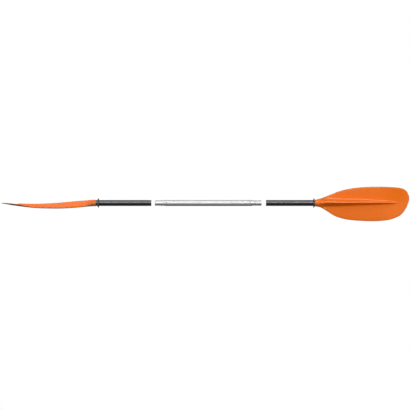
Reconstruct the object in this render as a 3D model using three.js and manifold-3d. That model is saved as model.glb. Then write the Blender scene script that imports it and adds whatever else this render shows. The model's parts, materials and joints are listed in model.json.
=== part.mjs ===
// A take-apart kayak paddle in three sections, in millimetres, with +X along the shaft and +Z up.
// The origin is on the shaft's axis, midway between the blade tips.
// The sections lie in line, drawn apart, so that both spigots of the centre section show.
// The right blade stands on edge with its power face towards -Y; the left one is feathered
// 90 degrees from it and lies flat with its power face up.

import * as THREE from 'three';
import { LoftGeometry } from 'three/addons/geometries/LoftGeometry.js';
import { mergeVertices } from 'three/addons/utils/BufferGeometryUtils.js';
import Module from 'manifold-3d';

const wasm = await Module();
wasm.setup();

// ---- driving dimensions ----

const HALF_SPAN = 1032; // origin to either blade tip
const SHAFT_RADIUS = 15;
const BORE_RADIUS = 13.4; // inside of the shaft tubes
const SIDES = 32; // flats round each tube, one of them facing each of +-Y and +-Z

const CENTRE_TUBE_LENGTH = 443;
const CENTRE_TUBE_MIDDLE = 15;

const SPIGOT_RADIUS = 13.2;
const SPIGOT_BORE_RADIUS = 11.7;
const SPIGOT_LENGTH = 48.3; // what stands out of the centre tube
const SPIGOT_SEAT = 60; // what is held inside it

const BUTTON_OFFSET = 14; // from the centre tube's shoulder, outwards
const BUTTON_RADIUS = 3.7;
const BUTTON_TOP = 15.5; // height of its crown above the shaft's axis
const BUTTON_FOOT = 10.9;
const BUTTON_HOLE_RADIUS = 4.1;

const SPRING_WIDTH = 8;
const SPRING_GAUGE = 0.8;
const SPRING_REACH = 10.6; // height of each leg's end above the shaft's axis
const SPRING_BEND = -36; // the middle of its round bend, from the centre tube's shoulder
const SPRING_BEND_RADIUS = 4.4;

const RIVET_RADIUS = 1.9;
const RIVET_HOLE_RADIUS = 2.2;
const FERRULE_RIVET_OFFSET = 9; // from the centre tube's shoulder, inwards
const BLADE_RIVET_OFFSET = 5; // from the blade's neck, inwards
const BLADE_RIVET_HEAD_RADIUS = 3.2;
const BLADE_RIVET_FOOT = 5; // height of its inner end above the shaft's axis

const FIT_GAP = 0.3; // between pieces that fit in or on one another

const BLADE_LENGTH = 477;
const NECK_RADIUS = 16.5;
const TENON_RADIUS = 13.1;
const TENON_LENGTH = 45;
const SHEET_THICKNESS = 4;
const NECK_BLEND = 60; // over which the round neck turns into the sheet
const SPINE_CREST = 1; // how far the crest lies from the shaft's axis, towards the long edge
const GROOVE_DEPTH = 0.7; // of the groove behind the spine, to the spine's height
const GROOVE_WIDTH = 0.8;
const SECTION_POINTS = 56;
const BLADE_STATIONS = 26;

const LEFT_MOUTH = -273; // where each end section's tube begins
const RIGHT_MOUTH = 307;

const RING_LENGTH = 8;
const RING_RADIUS = 23;
const LEFT_RING_OFFSET = 9; // from the blade's neck to the ring
const RIGHT_RING_OFFSET = 0.5;

const BUNG_DEPTH = 60; // from the tube's mouth
const BUNG_LENGTH = 30;

// ---- materials ----

const materials = {
  aluminium: new THREE.MeshStandardMaterial({ color: 0xc9cccf, roughness: 0.3, metalness: 1 }),
  blackTube: new THREE.MeshStandardMaterial({ color: 0x1c1b1e, roughness: 0.38, metalness: 0 }),
  blade: new THREE.MeshStandardMaterial({ color: 0xeb742a, roughness: 0.42, metalness: 0 }),
  ring: new THREE.MeshStandardMaterial({ color: 0x201e1c, roughness: 0.7, metalness: 0 }),
  bung: new THREE.MeshStandardMaterial({ color: 0x3a3a3d, roughness: 0.95, metalness: 0 }),
  plug: new THREE.MeshStandardMaterial({ color: 0x2b2c2e, roughness: 0.6, metalness: 0 }),
  steel: new THREE.MeshStandardMaterial({ color: 0xb4b7ba, roughness: 0.3, metalness: 1 }),
};

// ---- helpers ----

function piece(name, geometry, material) {
  const mesh = new THREE.Mesh(geometry, material.clone());
  mesh.name = name;
  return mesh;
}

// A closed profile of [distance along X, radius] points, turned about the X axis.
function turned(profile, sides = SIDES) {
  const points = profile.map(([along, radius]) => new THREE.Vector2(radius, along));
  const geometry = new THREE.LatheGeometry(points, sides, Math.PI / sides);
  return geometry.rotateZ(-Math.PI / 2);
}

function tube(from, to, outer, inner, chamfer = 0.4) {
  return turned([
    [from, inner],
    [from, outer - chamfer],
    [from + chamfer, outer],
    [to - chamfer, outer],
    [to, outer - chamfer],
    [to, inner],
    [from, inner],
  ]);
}

// The same, turned about the Z axis: a profile of [height, radius] points.
function upright(profile, sides = 16) {
  return turned(profile, sides).rotateY(-Math.PI / 2);
}

function solid(geometry) {
  const bare = new THREE.BufferGeometry().copy(geometry);
  bare.deleteAttribute('normal');
  bare.deleteAttribute('uv');
  const merged = mergeVertices(bare, 1e-4);
  const mesh = new wasm.Mesh({
    numProp: 3,
    vertProperties: new Float32Array(merged.attributes.position.array),
    triVerts: new Uint32Array(merged.index.array),
  });
  mesh.merge();
  return new wasm.Manifold(mesh);
}

function cut(geometry, cutters) {
  const result = cutters.reduce((left, cutter) => left.subtract(solid(cutter)), solid(geometry));
  const { vertProperties, triVerts } = result.getMesh();
  const made = new THREE.BufferGeometry();
  made.setAttribute('position', new THREE.BufferAttribute(vertProperties, 3));
  made.setIndex(new THREE.BufferAttribute(triVerts, 1));
  made.computeVertexNormals();
  return made;
}

// A round cutter that runs outwards from the shaft's axis, at an angle about it: 0 is +Z, 90 is -Y.
function radialDrill(along, angle, radius, from = 2, to = 20) {
  return new THREE.CylinderGeometry(radius, radius, to - from, 16)
    .rotateX(Math.PI / 2)
    .translate(0, 0, (from + to) / 2)
    .rotateX(THREE.MathUtils.degToRad(angle))
    .translate(along, 0, 0);
}

function radially(mesh, along, angle) {
  mesh.position.x = along;
  mesh.rotation.x = THREE.MathUtils.degToRad(angle);
  return mesh;
}

// ---- centre section ----

function centreTube() {
  const left = CENTRE_TUBE_MIDDLE - CENTRE_TUBE_LENGTH / 2;
  const right = CENTRE_TUBE_MIDDLE + CENTRE_TUBE_LENGTH / 2;
  const facingFront = 90;
  const holes = [left + FERRULE_RIVET_OFFSET, right - FERRULE_RIVET_OFFSET].map((along) =>
    radialDrill(along, facingFront, RIVET_HOLE_RADIUS),
  );
  return cut(tube(left, right, SHAFT_RADIUS, BORE_RADIUS), holes);
}

// Each spigot is made in a frame of its own: +X outwards from the centre tube's shoulder,
// with the two buttons along +Z and -Z.
function ferrule(rivetAngle) {
  const sleeve = tube(-SPIGOT_SEAT, SPIGOT_LENGTH, SPIGOT_RADIUS, SPIGOT_BORE_RADIUS, 0.8);
  return cut(sleeve, [
    radialDrill(BUTTON_OFFSET, 0, BUTTON_HOLE_RADIUS),
    radialDrill(BUTTON_OFFSET, 180, BUTTON_HOLE_RADIUS),
    radialDrill(-FERRULE_RIVET_OFFSET, rivetAngle, RIVET_HOLE_RADIUS),
  ]);
}

function ferrulePlug() {
  const radius = SPIGOT_BORE_RADIUS - 0.35;
  const outerFace = SPIGOT_LENGTH - 1;
  return turned([
    [outerFace - 13, 0],
    [outerFace - 13, radius - 1],
    [outerFace - 12, radius],
    [outerFace, radius],
    [outerFace, 0],
  ]);
}

// A leaf bent to a V: two legs run out from a round bend and press the buttons outwards.
function snapSpring() {
  const legEnd = BUTTON_OFFSET + 6;
  const legKnee = BUTTON_OFFSET - 6;
  const inner = SPRING_BEND_RADIUS - SPRING_GAUGE;
  const innerReach = SPRING_REACH - SPRING_GAUGE;
  const outline = new THREE.Shape();
  outline.moveTo(legEnd, SPRING_REACH);
  outline.lineTo(legKnee, SPRING_REACH);
  outline.lineTo(SPRING_BEND, SPRING_BEND_RADIUS);
  outline.absarc(SPRING_BEND, 0, SPRING_BEND_RADIUS, Math.PI / 2, 1.5 * Math.PI, false);
  outline.lineTo(legKnee, -SPRING_REACH);
  outline.lineTo(legEnd, -SPRING_REACH);
  outline.lineTo(legEnd, -innerReach);
  outline.lineTo(legKnee, -innerReach);
  outline.lineTo(SPRING_BEND, -inner);
  outline.absarc(SPRING_BEND, 0, inner, 1.5 * Math.PI, Math.PI / 2, true);
  outline.lineTo(legKnee, innerReach);
  outline.lineTo(legEnd, innerReach);
  outline.closePath();
  const leaf = new THREE.ExtrudeGeometry(outline, { depth: SPRING_WIDTH, bevelEnabled: false, curveSegments: 12 });
  return leaf.translate(0, 0, -SPRING_WIDTH / 2).rotateX(Math.PI / 2);
}

function snapButton() {
  const shoulder = BUTTON_TOP - 1.7;
  return upright([
    [BUTTON_FOOT, 0],
    [BUTTON_FOOT, BUTTON_RADIUS],
    [shoulder, BUTTON_RADIUS],
    [shoulder + 0.9, BUTTON_RADIUS * 0.86],
    [shoulder + 1.45, BUTTON_RADIUS * 0.55],
    [BUTTON_TOP, 0],
  ]);
}

function ferruleRivet() {
  const headFoot = SHAFT_RADIUS + 0.25;
  return upright([
    [9.8, 0],
    [9.8, 2.6],
    [11, 2.6],
    [11, RIVET_RADIUS],
    [headFoot, RIVET_RADIUS],
    [headFoot, 3.4],
    [headFoot + 0.5, 3],
    [headFoot + 1, 1.6],
    [headFoot + 1.1, 0],
  ]);
}

// buttonNames are those of the +Z and the -Z button of the spigot's own frame.
function spigot(side, buttonNames, rivetAngle) {
  const group = new THREE.Group();
  group.add(
    piece(`${side}_ferrule`, ferrule(rivetAngle), materials.aluminium),
    piece(`${side}_ferrule_plug`, ferrulePlug(), materials.plug),
    piece(`${side}_snap_spring`, snapSpring(), materials.steel),
    radially(piece(`${side}_ferrule_rivet`, ferruleRivet(), materials.steel), -FERRULE_RIVET_OFFSET, rivetAngle),
  );
  buttonNames.forEach((name, n) => {
    group.add(radially(piece(`${side}_button_${name}`, snapButton(), materials.steel), BUTTON_OFFSET, 180 * n));
  });
  return group;
}

// ---- blade ----

const { clamp, lerp, smoothstep } = THREE.MathUtils;

// A smooth curve through [distance from the neck, value] points, read as a function of that distance.
function profileCurve(points) {
  const curve = new THREE.SplineCurve(points.map(([along, value]) => new THREE.Vector2(along, value)));
  const fine = curve.getPoints(60 * points.length);
  return (along) => {
    const next = Math.max(1, fine.findIndex((point) => point.x >= along));
    const [low, high] = [fine[next - 1], fine[next]];
    return lerp(low.y, high.y, clamp((along - low.x) / (high.x - low.x || 1), 0, 1));
  };
}

// The long edge runs almost straight to a rounded corner; the short edge sweeps up to meet it.
const longEdge = profileCurve([
  [0, NECK_RADIUS], [30, 23.7], [70, 39.5], [128, 61.5], [198, 76], [288, 82.2],
  [378, 81], [434, 75.8], [456, 66.5], [468, 54], [475, 35], [BLADE_LENGTH, 27],
]);
const shortEdge = profileCurve([
  [0, NECK_RADIUS], [28, 22.5], [60, 41], [103, 67], [163, 84], [248, 91.2], [318, 91.5],
  [373, 85.7], [414, 72.3], [441, 54], [462, 24], [475, -9], [BLADE_LENGTH, -17],
]);

// The sheet lies behind the shaft's axis and comes forward towards it at the tip.
const sheetHeight = profileCurve([
  [0, -14.5], [50, -17.3], [100, -22], [150, -25.2], [200, -26.3], [250, -25.7], [300, -23.7],
  [350, -19], [400, -12.4], [440, -7.4], [BLADE_LENGTH, -3.8],
]);

const spineHeight = profileCurve([
  [0, 28], [50, 28.8], [100, 30.3], [150, 28.6], [200, 25.6], [250, 22.2], [300, 18.2],
  [350, 14.2], [385, 10.2], [405, 4], [425, 0], [BLADE_LENGTH, 0],
]);
const steepWidth = profileCurve([[0, 21], [150, 15.8], [300, 10.2], [400, 6.5], [BLADE_LENGTH, 6]]);
const easedWidth = profileCurve([
  [0, 24], [76, 22.5], [130, 18.5], [228, 17.5], [320, 12.5], [380, 9.5], [BLADE_LENGTH, 7],
]);

// The positive part of a value, with its corner eased over a reach.
const eased = (value, reach) => (value + Math.hypot(value, reach)) / 2;

// The spine's section, 1 high: a straight flank falls to a crisp foot on the short edge's side,
// and a flank on the long edge's side eases out into the sheet.
function spineShape(lateral, along, narrowed = 1) {
  const fromCrest = (lateral - SPINE_CREST) / narrowed;
  const steepFlank = eased(1 + fromCrest / steepWidth(along), 0.1);
  const outwards = clamp(fromCrest / easedWidth(along), 0, 1);
  const easedFlank = (1 + Math.cos(Math.PI * outwards)) / 2;
  return easedFlank - eased(easedFlank - steepFlank, 0.15);
}

// How far the edges come forward around the dished tip.
const edgeLift = (along) => 6 * smoothstep(along, 300, 410) * (1 - 0.4 * smoothstep(along, 420, BLADE_LENGTH));

// One cross-section: a round neck that flattens into a thin sheet, with a spine on its power face
// and a groove behind the spine.
function bladeSection(along, face) {
  const flattened = smoothstep(along, 0, NECK_BLEND);
  const grooved = GROOVE_DEPTH * smoothstep(along, NECK_BLEND, 2 * NECK_BLEND);
  const middle = (longEdge(along) - shortEdge(along)) / 2;
  const halfWidth = (longEdge(along) + shortEdge(along)) / 2;
  const points = [];
  for (let n = 0; n < SECTION_POINTS; n += 1) {
    const angle = (2 * Math.PI * n) / SECTION_POINTS;
    const across = Math.cos(angle);
    const front = Math.sign(Math.sin(angle));
    const share = 0.45 * across + 0.55 * across ** 3;
    const lateral = middle + halfWidth * share;
    const half = (SHEET_THICKNESS / 2) * Math.sqrt(Math.max(0, 1 - share ** 8));
    const raised = front > 0 ? spineShape(lateral, along) : grooved * spineShape(lateral, along, GROOVE_WIDTH);
    const middleHeight = sheetHeight(along) + raised * spineHeight(along);
    const sheet = middleHeight + edgeLift(along) * Math.abs(share) ** 1.5 + front * half;
    const neck = NECK_RADIUS * Math.sin(angle);
    const height = lerp(neck, sheet, flattened);
    points.push(new THREE.Vector3(along, face * height, lerp(middle + halfWidth * across, lateral, flattened)));
  }
  return face < 0 ? points : points.reverse();
}

function roundSection(along, radius, face) {
  const like = bladeSection(0, face);
  return like.map(({ y, z }) => new THREE.Vector3(along, (y * radius) / NECK_RADIUS, (z * radius) / NECK_RADIUS));
}

// +X outwards from the neck's shoulder, the long edge towards +Z, the power face towards face x Y.
function blade(face) {
  const sections = [
    roundSection(-TENON_LENGTH, TENON_RADIUS, face),
    roundSection(0, TENON_RADIUS, face),
    roundSection(0, NECK_RADIUS, face),
  ];
  for (let n = 1; n <= BLADE_STATIONS; n += 1) {
    const along = (BLADE_LENGTH * (1 - Math.cos((Math.PI * n) / BLADE_STATIONS))) / 2;
    sections.push(bladeSection(along, face));
  }
  const body = new LoftGeometry(sections, { capStart: true, capEnd: true });
  const rivetHole = radialDrill(-BLADE_RIVET_OFFSET, 90 * face, RIVET_HOLE_RADIUS, BLADE_RIVET_FOOT - 0.5);
  return cut(body, [rivetHole]);
}

// A flush rivet: its head lies in a hole of the tube, on the blade's tenon.
function bladeRivet() {
  const headFoot = BORE_RADIUS + 0.1;
  const headTop = SHAFT_RADIUS - 0.1;
  return upright([
    [BLADE_RIVET_FOOT, 0],
    [BLADE_RIVET_FOOT, RIVET_RADIUS],
    [headFoot, RIVET_RADIUS],
    [headFoot, BLADE_RIVET_HEAD_RADIUS],
    [headTop - 0.2, BLADE_RIVET_HEAD_RADIUS],
    [headTop, BLADE_RIVET_HEAD_RADIUS - 0.4],
    [headTop, 0],
  ]);
}

// ---- end sections ----

// A soft collar with a flared rim at its hand end, hollowed there, and a slope down to its hub at the blade end.
function dripRing() {
  const bore = SHAFT_RADIUS + FIT_GAP;
  const hub = bore + 1.9;
  const hollow = 1.8;
  return turned([
    [0, bore],
    [0, hub],
    [hollow, hub + 0.6],
    [hollow, RING_RADIUS - 2.2],
    [0, RING_RADIUS - 1.6],
    [0, RING_RADIUS - 0.7],
    [0.7, RING_RADIUS],
    [2.7, RING_RADIUS],
    [3.4, RING_RADIUS - 0.8],
    [RING_LENGTH - 1.5, hub],
    [RING_LENGTH - 0.5, hub],
    [RING_LENGTH, hub - 0.5],
    [RING_LENGTH, bore],
    [0, bore],
  ]);
}

function tubeBung(mouth) {
  const radius = BORE_RADIUS - 0.4;
  const outer = mouth + BUNG_DEPTH;
  return turned([
    [outer, 0],
    [outer, radius - 1],
    [outer + 1, radius],
    [outer + BUNG_LENGTH - 1, radius],
    [outer + BUNG_LENGTH, radius - 1],
    [outer + BUNG_LENGTH, 0],
  ]);
}

// An end section in a frame of its own: +X outwards from the blade's neck, the long edge towards +Z.
// The holes near the tube's mouth are at the given angles about the axis.
function endSection(side, { face, tubeLength, holeAngles, ringOffset }) {
  const mouth = -tubeLength;
  const holes = holeAngles.map((angle) =>
    radialDrill(mouth + BUTTON_OFFSET - FIT_GAP, angle, BUTTON_HOLE_RADIUS, 5),
  );
  const rivetAngle = 90 * face;
  holes.push(radialDrill(-BLADE_RIVET_OFFSET, rivetAngle, BLADE_RIVET_HEAD_RADIUS + FIT_GAP, 5));
  const shaft = tube(mouth, -FIT_GAP, SHAFT_RADIUS, BORE_RADIUS);
  const ring = piece(`${side}_drip_ring`, dripRing(), materials.ring);
  ring.position.x = -ringOffset - RING_LENGTH;
  const group = new THREE.Group();
  group.add(
    piece(`${side}_tube`, cut(shaft, holes), materials.blackTube),
    piece(`${side}_blade`, blade(face), materials.blade),
    radially(piece(`${side}_blade_rivet`, bladeRivet(), materials.steel), -BLADE_RIVET_OFFSET, rivetAngle),
    piece(`${side}_tube_bung`, tubeBung(mouth), materials.bung),
    ring,
  );
  return group;
}

// ---- assembly ----

const paddle = new THREE.Group();
const neck = HALF_SPAN - BLADE_LENGTH;
const quarterTurn = Math.PI / 2;

paddle.add(piece('centre_tube', centreTube(), materials.aluminium));

// Turned half round about Z, the left spigot's own +Y faces the front.
const leftSpigot = spigot('left', ['top', 'bottom'], -90);
leftSpigot.position.x = CENTRE_TUBE_MIDDLE - CENTRE_TUBE_LENGTH / 2;
leftSpigot.rotation.z = Math.PI;
paddle.add(leftSpigot);

// The right spigot's buttons face front and back.
const rightSpigot = spigot('right', ['front', 'back'], 0);
rightSpigot.position.x = CENTRE_TUBE_MIDDLE + CENTRE_TUBE_LENGTH / 2;
rightSpigot.rotation.x = quarterTurn;
paddle.add(rightSpigot);

// Each end section has a pair of holes, above and below, that the buttons spring into.
const leftFeather = new THREE.Group();
leftFeather.rotation.x = -quarterTurn;
const leftSection = endSection('left', {
  face: 1,
  tubeLength: neck + LEFT_MOUTH,
  holeAngles: [90, 270],
  ringOffset: LEFT_RING_OFFSET,
});
leftSection.position.x = -neck;
leftSection.rotation.z = Math.PI;
leftFeather.add(leftSection);
paddle.add(leftFeather);

const rightSection = endSection('right', {
  face: -1,
  tubeLength: neck - RIGHT_MOUTH,
  holeAngles: [0, 180],
  ringOffset: RIGHT_RING_OFFSET,
});
rightSection.position.x = neck;
paddle.add(rightSection);

export default paddle;
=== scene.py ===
"""A take-apart kayak paddle in three sections, drawn apart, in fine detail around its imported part.

Lengths are in metres, +X runs along the shaft and +Z is up. The shaft's axis is the X axis.
Each piece takes its place, its body and its finish from the CAD node it stands for.
"""

import json
import math

import bmesh
import bpy
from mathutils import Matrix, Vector


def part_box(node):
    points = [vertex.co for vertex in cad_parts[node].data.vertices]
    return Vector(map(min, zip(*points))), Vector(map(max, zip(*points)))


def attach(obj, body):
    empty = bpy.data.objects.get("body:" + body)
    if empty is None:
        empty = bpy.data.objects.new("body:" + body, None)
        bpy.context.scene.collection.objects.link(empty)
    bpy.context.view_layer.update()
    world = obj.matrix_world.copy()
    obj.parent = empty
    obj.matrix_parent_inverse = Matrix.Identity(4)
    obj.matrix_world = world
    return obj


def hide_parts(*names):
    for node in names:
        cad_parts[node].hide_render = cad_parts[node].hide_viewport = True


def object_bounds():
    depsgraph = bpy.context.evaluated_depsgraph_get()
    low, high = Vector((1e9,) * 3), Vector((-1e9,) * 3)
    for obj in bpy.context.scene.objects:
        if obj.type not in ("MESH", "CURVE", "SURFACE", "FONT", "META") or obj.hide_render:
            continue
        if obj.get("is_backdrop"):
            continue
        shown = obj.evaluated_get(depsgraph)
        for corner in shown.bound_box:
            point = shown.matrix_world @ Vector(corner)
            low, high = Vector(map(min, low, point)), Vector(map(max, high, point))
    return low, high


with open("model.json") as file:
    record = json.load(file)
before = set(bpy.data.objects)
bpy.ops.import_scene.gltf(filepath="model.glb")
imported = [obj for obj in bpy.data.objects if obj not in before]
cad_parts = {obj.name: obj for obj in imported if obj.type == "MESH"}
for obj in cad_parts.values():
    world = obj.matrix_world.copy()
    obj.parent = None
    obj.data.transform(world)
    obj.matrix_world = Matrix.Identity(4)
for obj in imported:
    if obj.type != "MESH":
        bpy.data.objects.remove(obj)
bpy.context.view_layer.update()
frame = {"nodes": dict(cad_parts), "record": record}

# ---- sizes ----

SHAFT_RADIUS = 0.015
BORE_RADIUS = 0.0134
SPIGOT_RADIUS = 0.0132
SPIGOT_BORE_RADIUS = 0.0117
BUTTON_RADIUS = 0.0037
BUTTON_DOME_RISE = 0.0017
BUTTON_HOLE_RADIUS = 0.0041
BUTTON_HOLE_TO_MOUTH = 0.0137
RIVET_RADIUS = 0.0019
RIVET_HEAD_RADIUS = 0.0034
BLADE_RIVET_HEAD_RADIUS = 0.0032
RIVET_HOLE_RADIUS = 0.0022
BUTTON_HOLE_DIRECTIONS = ((0, 0, 1), (0, 0, -1))  # from the shaft's axis, in the black tubes

BLADE_LENGTH = 0.477
NECK_RADIUS = 0.0165
TENON_RADIUS = 0.0131
TENON_LENGTH = 0.045
SHEET_THICKNESS = 0.004
NECK_BLEND = 0.060  # over which the round neck turns into the sheet
SPINE_CREST = 0.001  # how far the crest lies from the shaft's axis, towards the long edge
CROWN_FALL = 0.17  # of the spine's height, over the shallow crown and again over the skirt below it
SKIRT_REACH = 1.15  # of the eased flank's width
GROOVE_DEPTH = 0.7  # of the groove behind the spine, to the spine's height
GROOVE_WIDTH = 0.8
TIP_ROUNDING = 0.0025
TIP_START = 0.415  # from here the rim curves in around the tip
EDGE_LIFT = 0.006  # how far the edges come forward where the tip's dish is deepest
RIM_SHARPNESS = 8  # the higher, the more even the sheet's thickness up to its rim
FIRST_STATION = 0.0045  # where the neck's turned end meets the sections that flatten
BLADE_STATIONS = 150
EDGE_COLUMNS = 18  # of a blade's mesh, from each edge to the spine
STEEP_COLUMNS = 10
EASED_COLUMNS = 22
CROWDING = 1.3  # of the columns towards the crest
SECTION_POINTS = 2 * (2 * EDGE_COLUMNS + STEEP_COLUMNS + EASED_COLUMNS)

RING_RADIUS = 0.023
TURN_STEPS = 96
PIN_STEPS = 64
SHARP_ANGLE = math.radians(38)  # from here up an edge stays crisp

# ---- camera, light and floor ----

VIEW_WIDTH = 2.0746
CAMERA_PLACE = (-0.0015, -4, -0.0101)
DOME = (0.26, 0.26, 0.26)
GROUND = (0.06, 0.06, 0.065)
FLOOR_GAP = 0.0006
LOWER_FLOOR = -1.1
FLOOR_HALF = 20


def make_camera():
    camera = bpy.data.objects.new("camera", bpy.data.cameras.new("camera"))
    camera.data.type = "ORTHO"
    camera.data.ortho_scale = VIEW_WIDTH
    camera.location = CAMERA_PLACE
    camera.rotation_euler = (math.radians(90), 0, 0)
    bpy.context.scene.collection.objects.link(camera)
    bpy.context.scene.camera = camera
    bpy.context.scene.view_settings.view_transform = "Standard"


def make_sky():
    """A soft grey dome, white along the horizon and dark below it, as over a dark studio bench."""
    world = bpy.data.worlds.new("studio")
    world.use_nodes = True
    bpy.context.scene.world = world
    nodes, links = world.node_tree.nodes, world.node_tree.links
    direction = nodes.new("ShaderNodeTexCoord")
    axes = nodes.new("ShaderNodeSeparateXYZ")
    height = nodes.new("ShaderNodeMapRange")
    height.inputs["From Min"].default_value = -1
    shade = nodes.new("ShaderNodeValToRGB")
    stops = shade.color_ramp.elements
    stops[0].position, stops[0].color = 0.485, (*GROUND, 1)
    stops[1].position, stops[1].color = 0.52, (*DOME, 1)
    for position in (0.497, 0.505):
        stops.new(position).color = (1, 1, 1, 1)
    links.new(direction.outputs["Generated"], axes.inputs[0])
    links.new(axes.outputs["Z"], height.inputs["Value"])
    links.new(height.outputs["Result"], shade.inputs["Fac"])
    links.new(shade.outputs["Color"], nodes["Background"].inputs["Color"])


def make_softbox(name, azimuth, elevation, distance, size, brightness):
    """A soft rectangular light facing the paddle. Azimuth 0 is in front of it, and 90 is at its right end."""
    width, height = size
    lamp = bpy.data.objects.new(name, bpy.data.lights.new(name, "AREA"))
    lamp.data.shape = "RECTANGLE"
    lamp.data.size, lamp.data.size_y = width, height
    lamp.data.energy = brightness * math.pi * width * height
    turn, rise = math.radians(azimuth), math.radians(elevation)
    away = Vector((math.sin(turn) * math.cos(rise), -math.cos(turn) * math.cos(rise), math.sin(rise)))
    lamp.location = distance * away
    lamp.rotation_euler = (math.radians(90) - rise, 0, turn)
    lamp.visible_camera = False
    bpy.context.scene.collection.objects.link(lamp)


def floor_paint():
    """Pale paint on the top of a floor. The underside is clear, so that views from below pass through."""
    finish = Finish("pale_floor", color=(0.86, 0.86, 0.86), roughness=0.9)
    finish.color_from(finish.noise(3, detail=4), (0.84, 0.84, 0.845), (0.88, 0.88, 0.88))
    underside = finish.add("ShaderNodeNewGeometry").outputs["Backfacing"]
    see_through = finish.add("ShaderNodeBsdfTransparent").outputs["BSDF"]
    blend = finish.add("ShaderNodeMixShader")
    finish.link(underside, blend.inputs["Fac"])
    finish.link(finish.shader.outputs["BSDF"], blend.inputs[1])
    finish.link(see_through, blend.inputs[2])
    finish.link(blend.outputs["Shader"], finish.output.inputs["Surface"])
    return finish.material


def make_floors():
    """A pale floor just under the paddle, and a lower one for the foreground of low views.

    They take shadows, but cast none of their light back up.
    """
    paint = floor_paint()
    corners = ((-1, -1), (1, -1), (1, 1), (-1, 1))
    for name, level in (("floor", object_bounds()[0].z - FLOOR_GAP), ("lower_floor", LOWER_FLOOR)):
        places = [(FLOOR_HALF * x, FLOOR_HALF * y, level) for x, y in corners]
        mesh = bpy.data.meshes.new(name)
        mesh.from_pydata(places, [], [(0, 1, 2, 3)])
        mesh.materials.append(paint)
        floor = bpy.data.objects.new(name, mesh)
        floor.visible_diffuse = floor.visible_glossy = floor.visible_shadow = False
        bpy.context.scene.collection.objects.link(floor)
        floor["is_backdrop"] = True


# ---- finishes ----


class Finish:
    """A material made of procedural nodes, laid out in the object's own coordinates."""

    def __init__(self, name, color, roughness, metallic=0.0):
        self.material = bpy.data.materials.new(name)
        self.material.use_nodes = True
        self.tree = self.material.node_tree
        self.shader = self.tree.nodes["Principled BSDF"]
        self.output = self.tree.nodes["Material Output"]
        self.shader.inputs["Base Color"].default_value = (*color, 1)
        self.shader.inputs["Roughness"].default_value = roughness
        self.shader.inputs["Metallic"].default_value = metallic
        self.place = self.add("ShaderNodeTexCoord").outputs["Object"]

    def add(self, kind):
        return self.tree.nodes.new(kind)

    def link(self, source, target):
        self.tree.links.new(source, target)

    def noise(self, scale, detail=2.0, stretch=(1, 1, 1)):
        """Noise of so many features to the metre. A stretch under 1 draws them out along that axis."""
        mapping = self.add("ShaderNodeMapping")
        mapping.inputs["Scale"].default_value = stretch
        texture = self.add("ShaderNodeTexNoise")
        texture.inputs["Scale"].default_value = scale
        texture.inputs["Detail"].default_value = detail
        self.link(self.place, mapping.inputs["Vector"])
        self.link(mapping.outputs["Vector"], texture.inputs["Vector"])
        return texture.outputs["Fac"]

    def cells(self, scale):
        texture = self.add("ShaderNodeTexVoronoi")
        texture.inputs["Scale"].default_value = scale
        self.link(self.place, texture.inputs["Vector"])
        return texture.outputs["Distance"]

    def ramp(self, value, span, to=(0, 1)):
        """The value taken from one span to another, and held at its ends."""
        node = self.add("ShaderNodeMapRange")
        node.inputs["From Min"].default_value, node.inputs["From Max"].default_value = span
        node.inputs["To Min"].default_value, node.inputs["To Max"].default_value = to
        self.link(value, node.inputs["Value"])
        return node.outputs["Result"]

    def product(self, first, second):
        node = self.add("ShaderNodeMath")
        node.operation = "MULTIPLY"
        self.link(first, node.inputs[0])
        self.link(second, node.inputs[1])
        return node.outputs["Value"]

    def radius(self):
        """The distance from the shaft's axis."""
        across = self.add("ShaderNodeVectorMath")
        across.operation = "MULTIPLY"
        across.inputs[1].default_value = (0, 1, 1)
        length = self.add("ShaderNodeVectorMath")
        length.operation = "LENGTH"
        self.link(self.place, across.inputs[0])
        self.link(across.outputs["Vector"], length.inputs[0])
        return length.outputs["Value"]

    def attribute(self, name):
        node = self.add("ShaderNodeAttribute")
        node.attribute_name = name
        return node.outputs["Fac"]

    def color_from(self, factor, low, high):
        """Colours the surface from low to high by a factor. Either may be the output of a node."""
        node = self.add("ShaderNodeMix")
        node.data_type = "RGBA"
        self.link(factor, node.inputs["Factor"])
        for socket, color in (("A", low), ("B", high)):
            target = next(i for i in node.inputs if i.name == socket and i.type == "RGBA")
            if isinstance(color, tuple):
                target.default_value = (*color, 1)
            else:
                self.link(color, target)
        result = next(o for o in node.outputs if o.type == "RGBA")
        self.link(result, self.shader.inputs["Base Color"])
        return result

    def roughness_from(self, value, low, high, span=(0.3, 0.7)):
        self.link(self.ramp(value, span, (low, high)), self.shader.inputs["Roughness"])

    def bump_from(self, height, depth, under=None):
        """Raises the surface by up to depth metres, on top of another bump if there is one."""
        node = self.add("ShaderNodeBump")
        node.inputs["Distance"].default_value = depth
        self.link(height, node.inputs["Height"])
        if under is not None:
            self.link(under, node.inputs["Normal"])
        self.link(node.outputs["Normal"], self.shader.inputs["Normal"])
        return node.outputs["Normal"]


def drawn_aluminium():
    finish = Finish("drawn_aluminium", color=(0.77, 0.77, 0.78), roughness=0.57, metallic=1)
    drawn = finish.noise(900, detail=3, stretch=(0.012, 1, 1))
    handled = finish.noise(35, detail=5)
    finish.color_from(finish.ramp(handled, (0.35, 0.7)), (0.74, 0.74, 0.75), (0.80, 0.80, 0.81))
    finish.roughness_from(drawn, 0.53, 0.61)
    finish.bump_from(drawn, 0.000006)
    return finish.material


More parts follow.
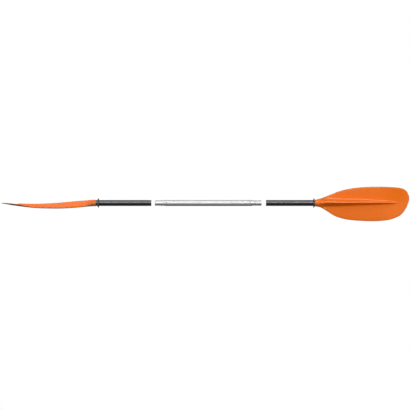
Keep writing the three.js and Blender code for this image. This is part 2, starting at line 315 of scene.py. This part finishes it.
def scuffed_aluminium():
    finish = Finish("scuffed_aluminium", color=(0.82, 0.82, 0.83), roughness=0.56, metallic=1)
    turned_marks = finish.noise(1400, detail=2, stretch=(1, 0.02, 0.02))
    scuffs = finish.noise(700, detail=4, stretch=(0.03, 1, 1))
    bare = finish.ramp(scuffs, (0.52, 0.62))
    finish.color_from(bare, (0.76, 0.76, 0.77), (0.88, 0.88, 0.89))
    finish.roughness_from(turned_marks, 0.48, 0.64)
    under = finish.bump_from(turned_marks, 0.00003)
    finish.bump_from(scuffs, 0.00002, under)
    return finish.material


def black_coating():
    finish = Finish("black_coating", color=(0.012, 0.012, 0.013), roughness=0.29)
    finish.shader.inputs["IOR"].default_value = 2.15
    grain = finish.noise(1800, detail=2)
    rubbed = finish.noise(60, detail=6, stretch=(0.25, 1, 1))
    marks = finish.ramp(rubbed, (0.6, 0.75))
    finish.color_from(marks, (0.010, 0.010, 0.011), (0.020, 0.019, 0.021))
    finish.roughness_from(rubbed, 0.27, 0.32)
    finish.bump_from(grain, 0.000003)
    return finish.material


def blade_plastic():
    finish = Finish("blade_plastic", color=(0.83, 0.16, 0.004), roughness=0.24)
    clouds = finish.noise(9, detail=3)
    orange = finish.color_from(clouds, (0.82, 0.148, 0.002), (0.84, 0.172, 0.006))
    # Painted shade: a patchy tan-brown darkening within about 4.5 mm of the rim, standing in for the shade of
    # the rounded edge.
    rim = finish.ramp(finish.attribute("rim_distance"), (0.0012, 0.0045), (1, 0))
    painted_rim_shade = finish.product(rim, finish.ramp(finish.noise(120, detail=4), (0.2, 0.6), (0.6, 0.95)))
    finish.color_from(painted_rim_shade, orange, (0.46, 0.14, 0.045))
    scratches = finish.noise(260, detail=5, stretch=(0.06, 1, 1))
    finish.roughness_from(scratches, 0.2, 0.28)
    grain = finish.noise(2200, detail=1)
    under = finish.bump_from(grain, 0.00003)
    finish.bump_from(scratches, 0.00002, under)
    return finish.material


def ring_rubber():
    """Dark brown dusty rubber, with a painted pale highlight on the slope below the rim."""
    finish = Finish("ring_rubber", color=(0.04, 0.028, 0.02), roughness=0.55)
    dust_and_sheen = finish.noise(220, detail=5)
    rubber = finish.color_from(finish.ramp(dust_and_sheen, (0.42, 0.7)), (0.032, 0.02, 0.014), (0.07, 0.05, 0.038))
    # Painted highlight: a patchy pale colour on the slope next to the hub, fading out by 20.5 mm from the
    # axis.
    painted_highlight = finish.ramp(finish.radius(), (0.0165, 0.0205), (0.75, 0))
    patchy_highlight = finish.product(painted_highlight, finish.ramp(dust_and_sheen, (0.2, 0.5), (0.7, 1)))
    finish.color_from(patchy_highlight, rubber, (0.36, 0.22, 0.18))
    finish.roughness_from(dust_and_sheen, 0.5, 0.75)
    finish.bump_from(finish.noise(1500, detail=2), 0.00004)
    return finish.material


def foam_rubber():
    finish = Finish("foam_rubber", color=(0.05, 0.05, 0.055), roughness=0.95)
    pores = finish.cells(1100)
    finish.color_from(finish.ramp(pores, (0.1, 0.6)), (0.02, 0.02, 0.022), (0.07, 0.07, 0.075))
    finish.bump_from(pores, 0.0002)
    return finish.material


def moulded_plug():
    finish = Finish("moulded_plug", color=(0.02, 0.02, 0.022), roughness=0.55)
    speckle = finish.noise(900, detail=3)
    finish.color_from(speckle, (0.014, 0.014, 0.016), (0.032, 0.032, 0.034))
    finish.roughness_from(speckle, 0.45, 0.65)
    finish.bump_from(finish.noise(2500, detail=1), 0.00003)
    return finish.material


def polished_steel():
    finish = Finish("polished_steel", color=(0.62, 0.62, 0.63), roughness=0.15, metallic=1)
    rubs = finish.noise(1500, detail=4)
    finish.color_from(rubs, (0.56, 0.56, 0.57), (0.66, 0.66, 0.67))
    finish.roughness_from(rubs, 0.1, 0.24)
    finish.bump_from(rubs, 0.00001)
    return finish.material


def spring_steel():
    finish = Finish("spring_steel", color=(0.42, 0.42, 0.44), roughness=0.3, metallic=1)
    rolled = finish.noise(1600, detail=3, stretch=(0.03, 1, 1))
    tarnish = finish.noise(140, detail=4)
    finish.color_from(finish.ramp(tarnish, (0.45, 0.75)), (0.42, 0.42, 0.44), (0.3, 0.27, 0.24))
    finish.roughness_from(rolled, 0.24, 0.4)
    finish.bump_from(rolled, 0.00002)
    return finish.material


def pressed_rivet():
    finish = Finish("pressed_rivet", color=(0.45, 0.45, 0.46), roughness=0.42, metallic=1)
    oxide = finish.noise(600, detail=4)
    finish.color_from(finish.ramp(oxide, (0.4, 0.7)), (0.5, 0.5, 0.51), (0.34, 0.34, 0.35))
    finish.roughness_from(oxide, 0.34, 0.55)
    finish.bump_from(oxide, 0.00004)
    return finish.material


FINISHES = {
    "bare_aluminium": drawn_aluminium(),
    "spigot_aluminium": scuffed_aluminium(),
    "plug_plastic": moulded_plug(),
    "spring_steel": spring_steel(),
    "button_steel": polished_steel(),
    "rivet_metal": pressed_rivet(),
    "black_coating": black_coating(),
    "bung_rubber": foam_rubber(),
    "blade_plastic": blade_plastic(),
    "ring_rubber": ring_rubber(),
}
SLOT_OF = {row["node"]: row["material_slot"] for row in frame["record"]["subparts"]}
BODY_OF = {
    node: body for body, nodes in frame["record"]["behaviour"]["bodies"].items() for node in nodes
}


def stand_in(thing, node):
    """The finished piece takes the place of a CAD node, and its body, its slot and its finish."""
    thing.data.materials.clear()
    thing.data.materials.append(FINISHES[SLOT_OF[node]])
    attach(thing, BODY_OF[node])
    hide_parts(node)


# ---- turned pieces ----


def rounded(corners, steps=5):
    """The outline through (along, radius, fillet) corners, with each corner turned on its fillet."""
    outline = []
    for n, (along, radius, fillet) in enumerate(corners):
        corner = Vector((along, radius))
        if fillet == 0:
            outline.append(corner)
            continue
        before = (Vector(corners[n - 1][:2]) - corner).normalized()
        after = (Vector(corners[(n + 1) % len(corners)][:2]) - corner).normalized()
        reach = fillet / math.tan(before.angle(after) / 2)
        start, end = corner + before * reach, corner + after * reach
        for step in range(steps + 1):
            t = step / steps
            outline.append(start * (1 - t) ** 2 + corner * 2 * t * (1 - t) + end * t**2)
    return outline


def turned(name, outline, origin=(0, 0, 0), direction=(1, 0, 0), steps=TURN_STEPS):
    """An outline of (along, radius) points turned about a line from the origin in that direction.

    It closes on itself, unless it starts and ends on the axis.
    """
    made = bmesh.new()
    rings = []
    for along, radius in outline:
        count = steps if radius > 1e-6 else 1
        turns = [2 * math.pi * n / count for n in range(count)]
        rings.append([made.verts.new((along, radius * math.cos(a), radius * math.sin(a))) for a in turns])
    pairs = list(zip(rings, rings[1:]))
    if outline[0][1] > 1e-6:
        pairs.append((rings[-1], rings[0]))
    for here, there in pairs:
        for n in range(steps):
            corners = [here[n % len(here)], here[(n + 1) % len(here)]]
            corners += [there[(n + 1) % len(there)], there[n % len(there)]]
            distinct = list(dict.fromkeys(corners))
            if len(distinct) > 2:
                made.faces.new(distinct)
    return finished(name, made, origin, direction)


def finished(name, made, origin=(0, 0, 0), direction=(1, 0, 0)):
    """An object made from a bmesh, which points along the given direction instead of +X."""
    bmesh.ops.recalc_face_normals(made, faces=made.faces)
    turn = Vector((1, 0, 0)).rotation_difference(Vector(direction)).to_matrix()
    for vertex in made.verts:
        vertex.co = turn @ vertex.co + Vector(origin)
    mesh = bpy.data.meshes.new(name)
    made.to_mesh(mesh)
    made.free()
    mesh.shade_smooth()
    mesh.set_sharp_from_angle(angle=SHARP_ANGLE)
    thing = bpy.data.objects.new(name, mesh)
    bpy.context.scene.collection.objects.link(thing)
    weighted = thing.modifiers.new("even_shading", "WEIGHTED_NORMAL")
    weighted.keep_sharp = True
    return thing


def drilled(thing, holes):
    """Cuts round holes outwards from the shaft's axis. A hole is its (centre, direction, radius)."""
    thing.modifiers.clear()
    cutters = []
    for centre, direction, radius in holes:
        near, far = 0.004, 0.018
        outline = [(near, 0), (near, radius), (far, radius), (far, 0)]
        cutter = turned("cutter", outline, (centre, 0, 0), direction, steps=48)
        cutter.modifiers.clear()
        cutters.append(cutter)
        cut = thing.modifiers.new("hole", "BOOLEAN")
        cut.operation, cut.object = "DIFFERENCE", cutter
    shape = thing.evaluated_get(bpy.context.evaluated_depsgraph_get())
    mesh = bpy.data.meshes.new_from_object(shape)
    mesh.name = thing.name
    thing.modifiers.clear()
    thing.data = mesh
    for cutter in cutters:
        bpy.data.objects.remove(cutter)
    shade_as_round(mesh)


def shade_as_round(mesh):
    """Gives the walls that run round the X axis a round shading, and leaves the other faces flat."""
    normals = []
    for face in mesh.polygons:
        for corner in face.vertices:
            spot = mesh.vertices[corner].co
            outwards = Vector((0, spot.y, spot.z)).normalized()
            facing = face.normal.dot(outwards)
            normals.append(outwards * math.copysign(1, facing) if abs(facing) > 0.97 else face.normal)
    mesh.normals_split_custom_set(normals)


def tube_outline(length, outer, inner, fillet=0.0004):
    return rounded(
        [
            (0, inner, fillet / 2),
            (0, outer, fillet),
            (length, outer, fillet),
            (length, inner, fillet / 2),
        ]
    )


def along_shaft(node, outwards):
    """Where a node starts, counted outwards, and its length along the shaft."""
    low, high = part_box(node)
    start = low.x if outwards > 0 else high.x
    return Vector((start, 0, 0)), high.x - low.x


def across_shaft(node):
    """The place of a button or rivet along the shaft, its direction from the axis, and its foot and top."""
    low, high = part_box(node)
    middle = (low + high) / 2
    axis = 1 if abs(middle.y) > abs(middle.z) else 2
    side = math.copysign(1, middle[axis])
    direction = Vector((0, 0, 0))
    direction[axis] = side
    foot, top = sorted((low[axis] * side, high[axis] * side))
    return middle.x, direction, foot, top


def dome(radius, foot, top, steps=10):
    """An arc from the rim of that radius, at the height of its foot, up to the axis."""
    rise = top - foot
    sphere = (radius**2 + rise**2) / (2 * rise)
    sweep = math.asin(min(1, radius / sphere))
    angles = [sweep * (1 - n / steps) for n in range(steps + 1)]
    return [(top - sphere * (1 - math.cos(a)), sphere * math.sin(a)) for a in angles]


def make_button(node):
    place, direction, foot, top = across_shaft(node)
    edge = 0.0004
    outline = [(foot, 0), (foot, BUTTON_RADIUS - edge), (foot + edge, BUTTON_RADIUS)]
    outline += dome(BUTTON_RADIUS, top - BUTTON_DOME_RISE, top)
    stand_in(turned(f"{node}_dome", outline, (place, 0, 0), direction, PIN_STEPS), node)


def make_ferrule_rivet(node):
    """A blind rivet: a domed head with the end of its pulled pin sunk in the middle."""
    place, direction, foot, top = across_shaft(node)
    head_foot = SHAFT_RADIUS + 0.0002
    pin, sunk = 0.0009, 0.0005
    bulge = 0.0026  # of the blind end, inside the sleeve
    outline = [(foot, 0), (foot, bulge - 0.0004), (foot + 0.0003, bulge), (foot + 0.0011, bulge)]
    outline += [(foot + 0.0014, RIVET_RADIUS), (head_foot, RIVET_RADIUS)]
    outline += [(head_foot, RIVET_HEAD_RADIUS - 0.0002), (head_foot + 0.0002, RIVET_HEAD_RADIUS)]
    crown = dome(RIVET_HEAD_RADIUS, head_foot + 0.0003, top)
    outline += [point for point in crown if point[1] > pin + 0.0002]
    outline += [(top - 0.0001, pin + 0.0001), (top - 0.0002, pin), (top - sunk, pin), (top - sunk, 0)]
    stand_in(turned(f"{node}_head", outline, (place, 0, 0), direction, PIN_STEPS), node)


def make_blade_rivet(node):
    """A flush rivet: a flat head with a bevelled rim and a shallow punched dish."""
    place, direction, foot, top = across_shaft(node)
    head_foot = BORE_RADIUS + 0.0001
    rim, dish = 0.0004, 0.0018
    outline = [(foot, 0), (foot, RIVET_RADIUS), (head_foot, RIVET_RADIUS)]
    outline += [(head_foot, BLADE_RIVET_HEAD_RADIUS), (top - rim / 2, BLADE_RIVET_HEAD_RADIUS)]
    outline += [(top - rim / 4, BLADE_RIVET_HEAD_RADIUS - rim / 3), (top, BLADE_RIVET_HEAD_RADIUS - rim)]
    outline += [(top, dish), (top - 0.0001, dish - 0.0002), (top - 0.0003, dish / 2), (top - 0.00035, 0)]
    stand_in(turned(f"{node}_head", outline, (place, 0, 0), direction, PIN_STEPS), node)


def drip_ring_outline(length):
    """A soft collar with a flared rim at its hand end, and a slope to its hub at the blade end."""
    bore = SHAFT_RADIUS + 0.0003
    hub = bore + 0.0019
    hollow = 0.0018
    return rounded(
        [
            (0, bore, 0.0002),
            (0, hub, 0.0004),
            (hollow, hub + 0.0006, 0.0008),
            (hollow, RING_RADIUS - 0.0022, 0.0008),
            (0, RING_RADIUS - 0.0014, 0.0003),
            (0, RING_RADIUS, 0.0009),
            (0.0046, RING_RADIUS, 0.0010),
            (length - 0.0010, hub, 0.0012),
            (length, hub, 0.0005),
            (length, bore, 0.0002),
        ]
    )


def bung_outline(length):
    radius = BORE_RADIUS - 0.0004
    return [(0, 0)] + rounded([(0, 0, 0), (0, radius, 0.0015), (length, radius, 0.0015), (length, 0, 0)])[1:]


def plug_outline(length):
    """A closed plug with a raised rim and a shallow dish in its outer face."""
    radius = SPIGOT_BORE_RADIUS - 0.00035
    rim, dish = 0.0018, 0.0006
    return rounded(
        [
            (0, 0, 0),
            (0, radius - 0.001, 0.0004),
            (0.001, radius, 0.0004),
            (length, radius, 0.0004),
            (length, radius - rim, 0.0003),
            (length - dish, radius - rim - dish, 0.0004),
            (length - dish, 0, 0),
        ]
    )


# ---- blades ----


def smooth_curve(points):
    """A Catmull-Rom curve through (along, value) points in millimetres, read as a function in metres."""
    last = len(points) - 1
    fine = []
    for n in range(last):
        around = [Vector(points[min(max(k, 0), last)]) for k in range(n - 1, n + 3)]
        leave, arrive = (around[2] - around[0]) / 2, (around[3] - around[1]) / 2
        for step in range(60):
            t = step / 60
            cubic = 2 * around[1] - 2 * around[2] + leave + arrive
            square = 3 * around[2] - 3 * around[1] - 2 * leave - arrive
            fine.append(cubic * t**3 + square * t**2 + leave * t + around[1])
    fine.append(Vector(points[last]))

    def value(along):
        along *= 1000
        high = next((n for n, point in enumerate(fine) if point.x >= along), len(fine) - 1)
        low = max(high - 1, 0)
        width = fine[high].x - fine[low].x or 1
        share = min(max((along - fine[low].x) / width, 0), 1)
        return (fine[low].y + (fine[high].y - fine[low].y) * share) / 1000

    return value


long_edge = smooth_curve(
    [(0, 16.5), (30, 23.7), (70, 39.5), (128, 61.5), (198, 76), (288, 82.2)]
    + [(378, 81), (434, 75.8), (456, 66.5), (468, 54), (473, 42), (475.8, 33), (476.8, 27), (477, 22.5)]
)
short_edge = smooth_curve(
    [(0, 16.5), (28, 22.5), (60, 41), (103, 67), (163, 84), (248, 91.2), (318, 91.5)]
    + [(373, 85.7), (414, 72.3), (441, 54), (462, 24), (471, 3), (475.8, -12), (476.8, -18), (477, -21.5)]
)
sheet_height = smooth_curve(
    [(0, -14.5), (50, -17.3), (100, -22), (150, -25.2), (200, -26.3), (250, -25.7), (300, -23.7)]
    + [(350, -19), (400, -12.4), (440, -7.4), (477, -3.8)]
)
spine_height = smooth_curve(
    [(0, 28), (50, 28.8), (100, 30.3), (150, 28.6), (200, 25.6), (250, 22.2), (300, 18.2)]
    + [(350, 14.2), (385, 10.2), (405, 4), (425, 0), (477, 0)]
)
steep_width = smooth_curve([(0, 21), (150, 15.8), (300, 10.2), (400, 6.5), (477, 6)])
eased_width = smooth_curve([(0, 24), (76, 22.5), (130, 18.5), (228, 17.5), (320, 12.5), (380, 9.5), (477, 7)])


def smoothstep(value, low, high):
    share = min(max((value - low) / (high - low), 0), 1)
    return share * share * (3 - 2 * share)


def eased(value, reach):
    """The positive part of a value, with its corner eased over a reach."""
    return (value + math.hypot(value, reach)) / 2


def spine_shape(lateral, along, narrowed=1):
    """The spine's section, 1 high.

    A straight flank falls to a crisp foot on the short edge's side. On the long edge's side a
    shallow crown turns down into a flank with a shallow skirt.
    """
    foot_ease, crest_ease = 0.1, 0.07
    from_crest = (lateral - SPINE_CREST) / narrowed
    steep_flank = eased(1 + from_crest / steep_width(along), foot_ease)
    outwards = max(from_crest / eased_width(along), 0)
    skirt = CROWN_FALL * max(0, SKIRT_REACH - outwards)
    crown = 1 - CROWN_FALL * outwards - skirt
    eased_flank = crown * (1 - smoothstep(outwards, 0.3, 0.9)) + skirt
    return eased_flank - eased(eased_flank - steep_flank, crest_ease)


def edge_lift(along):
    """How far the edges come forward around the dished tip, which is shallower at its very end."""
    return EDGE_LIFT * smoothstep(along, 0.3, 0.41) * (1 - 0.4 * smoothstep(along, 0.42, BLADE_LENGTH))


def outwards_share(share, along):
    """How far out a point lies, from 0 along the sheet's middle to 1 at its rim, which runs round the tip."""
    tipwards = max(0, (along - TIP_START) / (BLADE_LENGTH - TIP_START))
    return math.sqrt(share**2 * (1 - tipwards**2) + tipwards**2)


def columns(along):
    """Where the mesh's columns lie across the blade, from the long edge to the short one.

    They follow the foot and the crest of the spine, and crowd together at the edges and the crest.
    """
    far, near = long_edge(along), -short_edge(along)

    def held(place, low, high):
        """A place across the blade, kept between two shares of its width."""
        return min(max(place, near + low * (far - near)), near + high * (far - near))

    past_skirt, past_foot = 1.25 * eased_width(along), 1.15 * steep_width(along)
    skirt_end = held(SPINE_CREST + past_skirt, 0.55, 0.85)
    crest = held(SPINE_CREST, 0.42, 0.6)
    foot = held(SPINE_CREST - past_foot, 0.15, 0.48)
    out = [1 - math.cos(math.pi / 2 * n / EDGE_COLUMNS) for n in range(EDGE_COLUMNS)]
    places = [far + (skirt_end - far) * t for t in out]
    on_eased = [(1 - n / EASED_COLUMNS) ** CROWDING for n in range(EASED_COLUMNS)]
    places += [crest + (skirt_end - crest) * t for t in on_eased]
    on_steep = [(n / STEEP_COLUMNS) ** CROWDING for n in range(STEEP_COLUMNS)]
    places += [crest + (foot - crest) * t for t in on_steep]
    places += [near + (foot - near) * t for t in [1] + out[:0:-1]]
    return places + [near]


def blade_section(along):
    """One section as (along, height, across, distance from the rim) points.

    A round neck flattens into a thin sheet with a spine on its power face, a groove behind the
    spine and a dished tip.
    """
    flattened = smoothstep(along, 0, NECK_BLEND)
    grooved = GROOVE_DEPTH * smoothstep(along, NECK_BLEND, 2 * NECK_BLEND)
    middle = (long_edge(along) - short_edge(along)) / 2
    half_width = (long_edge(along) + short_edge(along)) / 2
    to_tip = BLADE_LENGTH - along
    thinned = max(0, 1 - to_tip / TIP_ROUNDING)
    tip = math.sqrt(max(0.02, 1 - thinned**2))
    places = columns(along)
    points = []
    for n in range(SECTION_POINTS):
        angle = 2 * math.pi * n / SECTION_POINTS
        across, front = math.cos(angle), math.sin(angle)
        lateral = places[min(n, SECTION_POINTS - n)]
        share = (lateral - middle) / half_width
        half = tip * SHEET_THICKNESS / 2 * math.sqrt(max(0, 1 - share**RIM_SHARPNESS))
        sheet = sheet_height(along) + edge_lift(along) * outwards_share(share, along) ** 1.5
        sheet += math.copysign(half, front)
        if front > 0:
            sheet += spine_height(along) * spine_shape(lateral, along)
        else:
            sheet += grooved * spine_height(along) * spine_shape(lateral, along, GROOVE_WIDTH)
        height = NECK_RADIUS * front * (1 - flattened) + sheet * flattened
        sideways = (middle + half_width * across) * (1 - flattened) + lateral * flattened
        rim = min(half_width * (1 - abs(share)), to_tip)
        points.append((along, height, sideways, rim))
    return points


def round_section(along, radius):
    angles = [2 * math.pi * n / SECTION_POINTS for n in range(SECTION_POINTS)]
    return [(along, radius * math.sin(a), radius * math.cos(a), NECK_RADIUS) for a in angles]


def make_blade(node, place):
    """A blade whose points are put in place by a function of (along, height, across)."""
    lip = 0.0003
    sections = [
        round_section(-TENON_LENGTH, TENON_RADIUS - 0.001),
        round_section(-TENON_LENGTH + 0.001, TENON_RADIUS),
        round_section(0, TENON_RADIUS),
        round_section(0, NECK_RADIUS - 0.0006),
        round_section(0.0002, NECK_RADIUS - 0.0001),
        round_section(0.0008, NECK_RADIUS + lip),
        round_section(0.0022, NECK_RADIUS + lip),
        round_section(0.0030, NECK_RADIUS),
    ]
    for n in range(BLADE_STATIONS + 1):
        share = (1 - math.cos(math.pi * n / BLADE_STATIONS)) / 2
        sections.append(blade_section(FIRST_STATION + (BLADE_LENGTH - FIRST_STATION) * share))
    made = bmesh.new()
    rim_layer = made.verts.layers.float.new("rim_distance")
    rings = []
    for section in sections:
        ring = []
        for along, height, across, rim in section:
            vertex = made.verts.new(place(along, height, across))
            vertex[rim_layer] = rim
            ring.append(vertex)
        rings.append(ring)
    for here, there in zip(rings, rings[1:]):
        for n in range(SECTION_POINTS):
            after = (n + 1) % SECTION_POINTS
            made.faces.new((here[n], here[after], there[after], there[n]))
    made.faces.new(rings[0])
    made.faces.new(rings[-1])
    stand_in(finished(f"{node}_moulding", made), node)


# ---- the paddle ----


def make_spigot(side, outwards):
    origin, length = along_shaft(f"{side}_ferrule", outwards)
    direction = (outwards, 0, 0)
    buttons = [node for node in frame["nodes"] if node.startswith(f"{side}_button")]
    sleeve = turned(
        f"{side}_ferrule_sleeve",
        tube_outline(length, SPIGOT_RADIUS, SPIGOT_BORE_RADIUS, 0.0007),
        origin,
        direction,
    )
    holes = [(*across_shaft(button)[:2], BUTTON_HOLE_RADIUS) for button in buttons]
    holes.append((*across_shaft(f"{side}_ferrule_rivet")[:2], RIVET_HOLE_RADIUS))
    drilled(sleeve, holes)
    stand_in(sleeve, f"{side}_ferrule")

    origin, length = along_shaft(f"{side}_ferrule_plug", outwards)
    plug = turned(f"{side}_ferrule_plug_cap", plug_outline(length), origin, direction)
    stand_in(plug, f"{side}_ferrule_plug")
    for button in buttons:
        make_button(button)
    make_ferrule_rivet(f"{side}_ferrule_rivet")
    spring = frame["nodes"][f"{side}_snap_spring"]
    for slot in spring.material_slots:
        slot.material = FINISHES["spring_steel"]


def make_centre_tube():
    origin, length = along_shaft("centre_tube", 1)
    tube = turned("centre_tube_shell", tube_outline(length, SHAFT_RADIUS, BORE_RADIUS), origin)
    rivets = ("left_ferrule_rivet", "right_ferrule_rivet")
    drilled(tube, [(*across_shaft(rivet)[:2], RIVET_HOLE_RADIUS) for rivet in rivets])
    stand_in(tube, "centre_tube")


def make_end_section(side, outwards):
    origin, length = along_shaft(f"{side}_tube", outwards)
    direction = (outwards, 0, 0)
    tube = turned(f"{side}_tube_shell", tube_outline(length, SHAFT_RADIUS, BORE_RADIUS), origin, direction)
    hole_place = origin.x + outwards * BUTTON_HOLE_TO_MOUTH
    holes = [(hole_place, Vector(way), BUTTON_HOLE_RADIUS) for way in BUTTON_HOLE_DIRECTIONS]
    head_hole = BLADE_RIVET_HEAD_RADIUS + 0.0003
    holes.append((*across_shaft(f"{side}_blade_rivet")[:2], head_hole))
    drilled(tube, holes)
    stand_in(tube, f"{side}_tube")
    make_blade_rivet(f"{side}_blade_rivet")

    origin, length = along_shaft(f"{side}_drip_ring", outwards)
    ring = turned(f"{side}_drip_ring_collar", drip_ring_outline(length), origin, direction, steps=128)
    stand_in(ring, f"{side}_drip_ring")
    origin, length = along_shaft(f"{side}_tube_bung", outwards)
    stand_in(turned(f"{side}_tube_bung_foam", bung_outline(length), origin, direction), f"{side}_tube_bung")


left_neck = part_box("left_blade")[0].x + BLADE_LENGTH
right_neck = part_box("right_blade")[1].x - BLADE_LENGTH

make_camera()
make_sky()
make_softbox("key", azimuth=0, elevation=24, distance=2.6, size=(4, 0.3), brightness=8.5)
make_softbox("overhead", azimuth=0, elevation=65, distance=2.6, size=(4, 1.6), brightness=1.25)
for azimuth, elevation, brightness in ((-50, 5, 3.2), (50, 5, 3.2), (-125, 20, 2.2), (125, 20, 2.2)):
    make_softbox(f"fill_{azimuth}", azimuth, elevation, distance=4, size=(2.2, 2.2), brightness=brightness)
make_floors()

make_centre_tube()
make_spigot("left", -1)
make_spigot("right", 1)
make_end_section("left", -1)
make_end_section("right", 1)
# The left blade lies flat with its power face up, and the right one is on edge, facing the front.
make_blade("left_blade", lambda along, height, across: (left_neck - along, across, height))
make_blade("right_blade", lambda along, height, across: (right_neck + along, -height, across))
